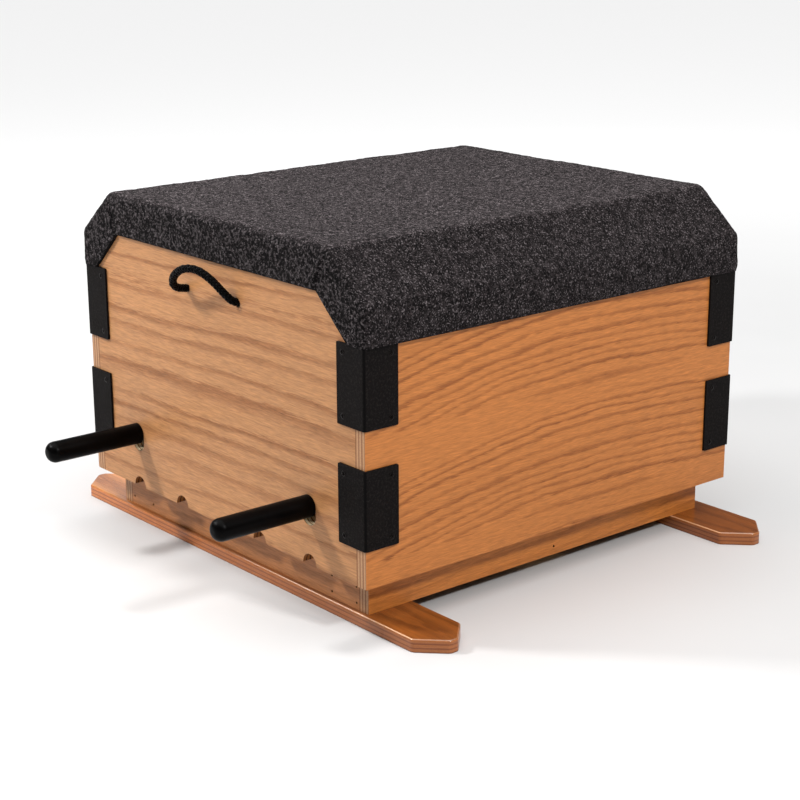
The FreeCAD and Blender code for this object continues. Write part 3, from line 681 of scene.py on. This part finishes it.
def screw_heads(node, dome, material, body, seed):
    """Heads for all the screws of a node, each turned at random. dome is a head's height."""
    generator = np.random.default_rng(seed)
    shape = head_shape(dome)
    heads, faces = [], []
    for middle, facing, radius in screw_places(node):
        side = unit(np.cross(facing, (0.3, 0.5, 0.8)))
        other = np.cross(facing, side)
        turn = generator.uniform(0.0, math.pi / 2)
        side = math.cos(turn) * side + math.sin(turn) * other
        other = np.cross(facing, side)
        start = len(heads) * len(shape)
        heads.append(middle + radius * (shape @ np.array([side, other, facing])))
        faces += [(start, start + 1 + i, start + 1 + (i + 1) % HEAD_SIDES) for i in range(HEAD_SIDES)]
        faces += grid_faces(HEAD_RINGS, HEAD_SIDES, start + 1, closed=True)
    mesh = mesh_of(f"{node}_heads", np.concatenate(heads), faces)
    piece = make_piece(f"{node}_heads", mesh, material, body)
    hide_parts(node)


screw_heads("bracket_screws", 0.16, black_screw, "top_box", 3)
screw_heads("base_end_screws", 0.05, dark_screw, "base", 5)
screw_heads("brace_screws", 0.05, dark_screw, "base", 7)
screw_heads("foot_screws", 0.05, zinc_screw, "base", 9)


# Rope handle: the route's points make the spline, and the strands follow it
ROPE_ROUTE = [
    (-0.062, -0.258, 0.399), (-0.062, -0.287, 0.399), (-0.055, -0.305, 0.409), (-0.040, -0.313, 0.426),
    (-0.014, -0.314, 0.441), (0.014, -0.309, 0.443), (0.033, -0.299, 0.430), (0.047, -0.289, 0.412),
    (0.060, -0.281, 0.399), (0.060, -0.258, 0.399),
]
ROPE_STEP = 0.00055
SPLINE_STEPS = 24
CORE_RADIUS = 0.0040
CORE_SIDES = 12
STRANDS = 4
STRAND_RADIUS = 0.0017
STRAND_SIDES = 8
BRAID_RADIUS = 0.0038
BRAID_WAVE = 0.0004
BRAID_PITCH = 0.022


def spline_points(points, name):
    """Points along a smooth line that has the given control points."""
    curve = bpy.data.curves.new(name, "CURVE")
    curve.dimensions = "3D"
    curve.resolution_u = SPLINE_STEPS
    spline = curve.splines.new("NURBS")
    spline.points.add(len(points) - 1)
    for point, place in zip(spline.points, points):
        point.co = (*place, 1.0)
    spline.order_u = 3
    spline.use_endpoint_u = True
    line = bpy.data.objects.new(name, curve)
    mesh = bpy.data.meshes.new_from_object(line)
    found = np.array([v.co for v in mesh.vertices], float)
    bpy.data.objects.remove(line)
    bpy.data.meshes.remove(mesh)
    return found


def even(line, step):
    """The line with its points an even step apart, and each point's run along it."""
    runs = np.concatenate([[0.0], np.cumsum(np.linalg.norm(np.diff(line, axis=0), axis=1))])
    wanted = np.linspace(0.0, runs[-1], max(2, int(round(runs[-1] / step)) + 1))
    return np.stack([np.interp(wanted, runs, line[:, i]) for i in range(3)], axis=1), wanted


def frames_along(line):
    """Two crosswise directions at each point, carried along the line without twist."""
    tangents = unit(np.gradient(line, axis=0))
    first = unit(np.cross(tangents[0], (0.0, 0.3, 1.0)))
    firsts = []
    for tangent in tangents:
        first = unit(first - tangent * first.dot(tangent))
        firsts.append(first)
    firsts = np.array(firsts)
    return firsts, np.cross(tangents, firsts)


def tube(line, radius, sides):
    """Rings of points round the line, one after the other."""
    first, second = frames_along(line)
    angles = np.linspace(0.0, 2 * math.pi, sides, endpoint=False)
    rings = [line + radius * (math.cos(a) * first + math.sin(a) * second) for a in angles]
    return np.stack(rings, axis=1).reshape(-1, 3)


def braid(line, runs):
    """Points and faces of a core and of strands that wind both ways and pass over and under."""
    first, second = frames_along(line)
    points = [tube(line, CORE_RADIUS, CORE_SIDES)]
    faces = grid_faces(len(line), CORE_SIDES, closed=True)
    count = len(points[0])
    angle = 2 * math.pi * runs / BRAID_PITCH
    for way in (1, -1):
        for strand in range(STRANDS):
            turn = way * angle + 2 * math.pi * strand / STRANDS
            over = way * np.cos(STRANDS * angle + math.pi * strand)
            out = BRAID_RADIUS + BRAID_WAVE * over
            path = line + out[:, None] * (np.cos(turn)[:, None] * first + np.sin(turn)[:, None] * second)
            points.append(tube(path, STRAND_RADIUS, STRAND_SIDES))
            faces += grid_faces(len(line), STRAND_SIDES, count, closed=True)
            count += len(points[-1])
    return np.concatenate(points), faces


def rope_material():
    graph = Graph("black_braid")
    yarn = graph.noise(graph.place, 1500.0)
    cloud = graph.noise(graph.place, 90.0)
    tone = graph.mix(graph.spread(cloud, 0.0, 1.0), *SOFT_BLACK)
    tone = graph.lay(tone, colour(36, 34, 34), yarn, (0.62, 0.80), (0.0, 0.06))
    graph.set(Base_Color=tone, Roughness=graph.spread(yarn, 0.30, 0.40), Specular_IOR_Level=0.05)
    graph.bump(yarn, 0.0002, 0.4)
    return graph.material


rope_black = rope_material()
rope_line, rope_runs = even(spline_points(ROPE_ROUTE, "rope_line"), ROPE_STEP)
rope_mesh = mesh_of("rope_braid", *braid(rope_line, rope_runs))
rope = make_piece("rope_braid", rope_mesh, rope_black, "top_box")
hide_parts("rope_handle")

KNOT_WIND = 0.0054
KNOT_SWELL = 0.00143
KNOT_STRAND = 0.0036
KNOT_SIDES = 10
KNOT_POINTS = 121
KNOT_CLEARANCE = 0.0004


def knot(side):
    """A stopper knot, the rope wound through itself in three lobes."""
    low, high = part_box(f"rope_knot_{side}")
    middle = (low + high) / 2
    turn = np.linspace(0.0, 2 * math.pi, KNOT_POINTS)
    out = KNOT_WIND + KNOT_SWELL * np.cos(3 * turn)
    deep = (high.y - low.y) / 2 - KNOT_STRAND - KNOT_CLEARANCE
    line = np.stack([
        middle.x + out * np.cos(2 * turn),
        middle.y + deep * np.sin(3 * turn),
        middle.z + out * np.sin(2 * turn),
    ], axis=1)
    faces = grid_faces(len(line), KNOT_SIDES, closed=True)
    mesh = mesh_of("knot", tube(line, KNOT_STRAND, KNOT_SIDES), faces)
    piece = make_piece(f"stopper_knot_{side}", mesh, rope_black, "top_box")
    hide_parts(f"rope_knot_{side}")
    return piece


knots = [knot(side) for side in SIDES]


# Carpet, wrapped over the deck and bevels, turned down over both ends
CARPET_STEP = 0.0032
ROUND_STEPS = 9
FOOT_ROUND = 0.011
SKIRT_FLARE = 0.0028
DECK_ROUND = 0.022
END_ROUND = 0.0115
BAND_CORNER = Vector((0.239, 0.449))
BAND_FOOT = Vector((0.301, carpet_low.z))
# A fold at each deck corner, the swelling beside it, and how it fades over the end's columns of points
PINCH_WIDTH = 0.006
PINCH_DEPTH = 0.0026
SWELL_SHARE = 0.55
SWELL_PLACE = 2.0
SWELL_WIDTH = 0.9
PINCH_FADE = (0.35, 1.0, 0.9, 0.0)
FULL_FROM = 0.007
FULL_HEIGHT = 0.0027
# The pile's heights and the size of their features in grid steps, then its roughness from point to point
PILE_WAVES = ((0.0006, 40), (0.0005, 9), (0.0004, 2.2))
PILE_ROUGH = 0.00022
PILE_SINK = 0.0002
PILE_LOWEST = -0.0011
# Rings of points round the cut edge: how far each lies past it, and how deep
RIM_RINGS = ((0.0008, 0.0006), (0.0010, 0.0018), (0.0009, 0.0049))


def mirrored(point):
    return Vector((-point.x, point.y))


def hood_line():
    """The carpet's outer line across the box, from the right skirt's lower edge to the left one's, with
    each point's run along it and the runs of the deck's two corners."""
    wide = carpet_high.x
    reach = side_high.x - deck_high.x
    drop = deck_high.z - side_high.z
    slant = math.hypot(reach, drop)
    foot = Vector((wide, side_high.z + PILE * (slant - drop) / reach))
    crown = Vector((deck_high.x + PILE * (slant - reach) / drop, carpet_high.z))
    corners = [Vector((wide + SKIRT_FLARE, carpet_low.z)), foot, crown]
    corners += [mirrored(corner) for corner in reversed(corners)]
    line = [corners[0]]
    rounds = (FOOT_ROUND, DECK_ROUND, DECK_ROUND, FOOT_ROUND)
    for before, corner, after, radius in zip(corners, corners[1:], corners[2:], rounds):
        back = (before - corner).normalized()
        ahead = (after - corner).normalized()
        half = math.acos(max(-1.0, min(1.0, back.dot(ahead)))) / 2
        centre = corner + (back + ahead).normalized() * radius / math.sin(half)
        enter = corner + back * radius / math.tan(half) - centre
        for angle in np.linspace(0.0, math.pi - 2 * half, ROUND_STEPS):
            line.append(centre + Vector((
                enter.x * math.cos(angle) - enter.y * math.sin(angle),
                enter.x * math.sin(angle) + enter.y * math.cos(angle),
            )))
    line.append(corners[-1])
    even_line, runs = even(np.array([(p.x, 0.0, p.y) for p in line]), CARPET_STEP)
    hood = even_line[:, [0, 2]]
    crown_runs = [
        runs[np.argmin(np.linalg.norm(hood - np.array(place), axis=1))]
        for place in (crown, mirrored(crown))
    ]
    return hood, runs, crown_runs


def band_line(runs, crown_runs):
    """The lower edge of the carpet on the end face, one point for each point of the hood line."""
    ends = [0.0, *crown_runs, runs[-1]]
    edge = [BAND_FOOT, BAND_CORNER, mirrored(BAND_CORNER), mirrored(BAND_FOOT)]
    return np.stack([np.interp(runs, ends, [p[i] for p in edge]) for i in range(2)], axis=1)


def column(line, y):
    """Points of a line across the box at one place along it."""
    return np.column_stack([line[:, 0], np.full(len(line), y), line[:, 1]])


def end_columns(hood, band, face, way):
    """Columns of points from the band's lower edge up the end face and round onto the hood."""
    along = unit(np.gradient(hood, axis=0))
    inward = np.stack([-along[:, 1], along[:, 0]], axis=1)
    rolled = hood + inward * END_ROUND
    steps = int(round(np.linalg.norm(rolled - band, axis=1).max() / CARPET_STEP))
    strip = [column(rolled + (band - rolled) * s, face) for s in np.linspace(1.0, 0.0, steps + 1)[:-1]]
    for angle in np.linspace(math.pi / 2, 0.0, ROUND_STEPS):
        place = hood + inward * END_ROUND * (1 - math.cos(angle))
        strip.append(column(place, face + way * END_ROUND * (1 - math.sin(angle))))
    return strip


def carpet_grid():
    """The carpet's grid of points, and how far each is raised by folds and by a fuller pile."""
    hood, runs, crown_runs = hood_line()
    band = band_line(runs, crown_runs)
    front = end_columns(hood, band, carpet_low.y, 1.0)
    rear = end_columns(hood, band, carpet_high.y, -1.0)
    start = carpet_low.y + END_ROUND
    stop = carpet_high.y - END_ROUND
    middle = np.linspace(start, stop, int(round((stop - start) / CARPET_STEP)) + 1)[1:-1]
    grid = np.stack(front + [column(hood, y) for y in middle] + rear[::-1], axis=1)

    # The carpet is pinched where it folds round the deck's corners
    on_end = len(front)
    fold = np.zeros(len(hood))
    for crown_run in crown_runs:
        off = (runs - crown_run) / PINCH_WIDTH
        fold += np.exp(-off ** 2) - SWELL_SHARE * np.exp(-((abs(off) - SWELL_PLACE) / SWELL_WIDTH) ** 2)
    fade = np.interp(np.arange(on_end), [0, 5, on_end - 12, on_end - 8], PINCH_FADE)
    pinch = np.zeros(grid.shape[:2])
    pinch[:, :on_end] = np.outer(fold, fade)
    pinch[:, -on_end:] = np.outer(fold, fade[::-1])

    # The pile stands fuller over the hood than at its lower edges and on the ends
    count = grid.shape[1]
    from_edge = np.minimum(runs, runs[-1] - runs)
    from_end = np.minimum(np.arange(count), count - np.arange(count)) - on_end
    full = np.outer(np.clip(from_edge / FULL_FROM, 0, 1), np.clip(1 + from_end / ROUND_STEPS, 0, 1))
    return grid, FULL_HEIGHT * full - PINCH_DEPTH * pinch


def uneven_field(shape, cell, generator):
    """Smooth random heights about 0, with features of the given size in grid steps."""
    rows, columns = (int(math.ceil(n / cell)) + 2 for n in shape)
    coarse = generator.uniform(-1.0, 1.0, (rows, columns))
    r = np.arange(shape[0]) / cell
    c = np.arange(shape[1]) / cell
    ri, ci = r.astype(int), c.astype(int)
    rf, cf = (f * f * (3 - 2 * f) for f in (r - ri, c - ci))
    rf, cf = rf[:, None], cf[None, :]
    low = coarse[np.ix_(ri, ci)] * (1 - cf) + coarse[np.ix_(ri, ci + 1)] * cf
    high = coarse[np.ix_(ri + 1, ci)] * (1 - cf) + coarse[np.ix_(ri + 1, ci + 1)] * cf
    return low * (1 - rf) + high * rf


def around(index, inset):
    """The numbers round a grid's border, or beside it where inset is 1, in the same order."""
    return np.concatenate([
        index[inset, :-1], index[:-1, -1 - inset], index[-1 - inset, :0:-1], index[:0:-1, inset],
    ])


def make_carpet():
    """The carpet's mesh, its flat area and its grid before the pile."""
    grid, raised = carpet_grid()
    shape = grid.shape[:2]
    by_row = np.gradient(grid, axis=0)
    by_column = np.gradient(grid, axis=1)
    normal = unit(np.cross(by_column, by_row))
    middle = np.array((carpet_low + carpet_high) / 2)
    if ((grid - middle) * normal).sum(axis=-1).mean() < 0:
        normal = -normal
    area = float(np.linalg.norm(np.cross(by_row[:-1, :-1], by_column[:-1, :-1]), axis=-1).sum())

    generator = np.random.default_rng(11)
    height = sum(high * uneven_field(shape, cell, generator) for high, cell in PILE_WAVES)
    height = height + PILE_ROUGH * generator.uniform(-1.0, 1.0, shape)
    height = np.maximum(height - PILE_SINK, PILE_LOWEST) + raised
    points = [(grid + normal * height[..., None]).reshape(-1, 3)]
    faces = grid_faces(*shape)

    # The cut edge turns in to the wood all the way round
    index = np.arange(shape[0] * shape[1]).reshape(shape)
    rim = around(index, 0)
    flat = grid.reshape(-1, 3)
    out = unit(flat[rim] - flat[around(index, 1)])
    inwards = -normal.reshape(-1, 3)[rim]
    before = rim
    for past, depth in RIM_RINGS:
        now = np.arange(len(rim)) + sum(len(part) for part in points)
        points.append(flat[rim] + out * past + inwards * depth)
        faces += zip(before, np.roll(before, -1), np.roll(now, -1), now)
        before = now
    mesh = mesh_of("carpet", np.concatenate(points), faces)
    shell = bmesh.new()
    shell.from_mesh(mesh)
    bmesh.ops.recalc_face_normals(shell, faces=shell.faces)
    shell.to_mesh(mesh)
    shell.free()
    return mesh, area, grid


def carpet_material():
    graph = Graph("charcoal_carpet")
    black = colour(4, 3, 3)
    charcoal = colour(8, 7, 7)

    def elsewhere(offset, scale, detail=2.0, roughness=0.6):
        return graph.noise(graph.moved(graph.place, offset), scale, detail, roughness)

    # Dark and pale fibres, with flecks and pits
    fibre = graph.noise(graph.place, 640.0, 3.0, 0.65)
    tuft = graph.noise(graph.place, 330.0, roughness=0.6)
    cloud = graph.noise(graph.place, 18.0, 3.0, 0.6)
    height = graph.add(graph.times(fibre, 0.4), graph.times(tuft, 0.6))
    tone = graph.mix(graph.step(height, 0.40, 0.62), charcoal, colour(66, 59, 60))
    fleck = elsewhere((3.1, 1.7, 5.3), 460.0, 1.0, 0.5)
    tone = graph.lay(tone, colour(146, 137, 139), fleck, (0.58, 0.68), (0.0, 0.90))
    pit = elsewhere((7.9, 4.3, 2.2), 400.0, 1.0, 0.5)
    tone = graph.lay(tone, black, pit, (0.35, 0.46), (0.90, 0.0))
    tone = graph.mix(graph.spread(cloud, 0.0, 0.18), tone, colour(30, 27, 28))
    # The nap leans in patches, some dark and some pale
    nap = elsewhere((1.3, 8.6, 6.1), 110.0)
    tone = graph.lay(tone, charcoal, nap, (0.36, 0.50), (0.46, 0.0))
    tone = graph.lay(tone, colour(124, 114, 116), nap, (0.52, 0.68), (0.0, 0.15))
    # On the end bands the pile parts into coarser tufts
    clump = graph.noise(graph.place, 250.0, roughness=0.6)
    on_end = graph.step(graph.size(graph.dot(graph.normal, Y)), 0.5, 0.9)
    tone = graph.lay(tone, colour(122, 114, 116), clump, (0.53, 0.66), (0.0, 0.44), on_end)
    tone = graph.lay(tone, black, clump, (0.40, 0.54), (0.94, 0.0), on_end)
    height = graph.add(height, graph.times(graph.times(on_end, clump), 0.7))
    # The deck's pile is trodden into larger tufts
    upward = graph.dot(graph.normal, Z)
    on_deck = graph.step(upward, 0.90, 0.99)
    tread = elsewhere((5.7, 2.9, 9.4), 200.0)
    tone = graph.lay(tone, colour(10, 9, 9), tread, (0.38, 0.52), (0.52, 0.0), on_deck)
    tone = graph.lay(tone, colour(128, 119, 121), tread, (0.54, 0.66), (0.0, 0.26), on_deck)
    # The pile is darker where it doesn't face up, partly the pile seen from the side and partly painted
    # shade, and the cut edge, which faces down, is painted black for its backing and as painted shade
    tone = graph.lay(tone, colour(5, 4, 4), upward, (0.80, 0.98), (0.42, 0.0))
    tone = graph.lay(tone, black, upward, (-0.6, -0.3), (0.9, 0.0))
    graph.set(Base_Color=tone, Roughness=graph.spread(fibre, 0.86, 0.98), Specular_IOR_Level=0.08)
    graph.bump(height, 0.0024, 0.8)
    return graph.material


carpet_mesh, carpet_area, carpet_points = make_carpet()
carpet = make_piece("carpet", carpet_mesh, carpet_material(), "top_box")
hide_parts("carpet_cover")


# Pale floor, brighter far off
FLOOR_HALF = 14.0
FLOOR_NEAR = ((0.57, 0.57, 0.57), (0.59, 0.59, 0.59))
FLOOR_FAR = (0.90, 0.90, 0.90)
FLOOR_FADE = (1.0, 4.0)


def make_floor():
    corners = [(FLOOR_HALF * x, FLOOR_HALF * y, 0) for x, y in ((-1, -1), (1, -1), (1, 1), (-1, 1))]
    mesh = mesh_of("floor", corners, [(0, 1, 2, 3)], smooth=False)
    floor = add_object("floor", mesh)
    graph = Graph("pale_floor")
    cloud = graph.noise(graph.place, 3.0, 3.0)
    near = graph.mix(graph.spread(cloud, 0.0, 1.0), *FLOOR_NEAR)
    away = graph.hypot(graph.dot(graph.place, X), graph.dot(graph.place, Y))
    graph.set(Base_Color=graph.mix(graph.step(away, *FLOOR_FADE), near, FLOOR_FAR), Roughness=0.6)
    mesh.materials.append(graph.material)
    floor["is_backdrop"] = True


# Soft studio light
def make_light(name, kind, energy, direction):
    data = bpy.data.lights.new(name, kind)
    data.energy = energy
    light = add_object(name, data)
    light.rotation_mode = "QUATERNION"
    light.rotation_quaternion = direction.to_track_quat("-Z", "Y")
    return light


def soft_light(name, place, aim, width, height, power):
    light = make_light(name, "AREA", power, Vector(aim) - Vector(place))
    light.location = place
    light.data.shape = "RECTANGLE"
    light.data.size = width
    light.data.size_y = height


def wide_light(name, toward, strength, spread):
    """A far softbox, so large and far off that the floor is lit evenly."""
    light = make_light(name, "SUN", strength, Vector(toward))
    light.data.angle = math.radians(spread)


def make_world(strength):
    world = bpy.data.worlds.new("studio")
    world.use_nodes = True
    background = world.node_tree.nodes["Background"]
    background.inputs["Color"].default_value = (1.0, 1.0, 1.0, 1.0)
    background.inputs["Strength"].default_value = strength
    scene.world = world


make_floor()
wide_light("overhead", (0.0, 0.0, -1.0), 3.25, 75.0)
soft_light("key_left", (-1.24, -1.63, 1.92), (0.0, 0.0, 0.25), 0.30, 0.30, 50.0)
soft_light("edge_left", (-2.7, -1.1, 2.2), (0.0, -0.35, 0.02), 1.6, 0.3, 21.0)
soft_light("fill_right", (3.2, 0.2, 2.9), (0.2, 0.1, 0.25), 0.45, 0.45, 92.0)
soft_light("backdrop", (-3.4, 1.6, 1.2), (0.0, 0.0, 0.2), 2.4, 1.7, 7.0)
make_world(0.06)

low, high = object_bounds()
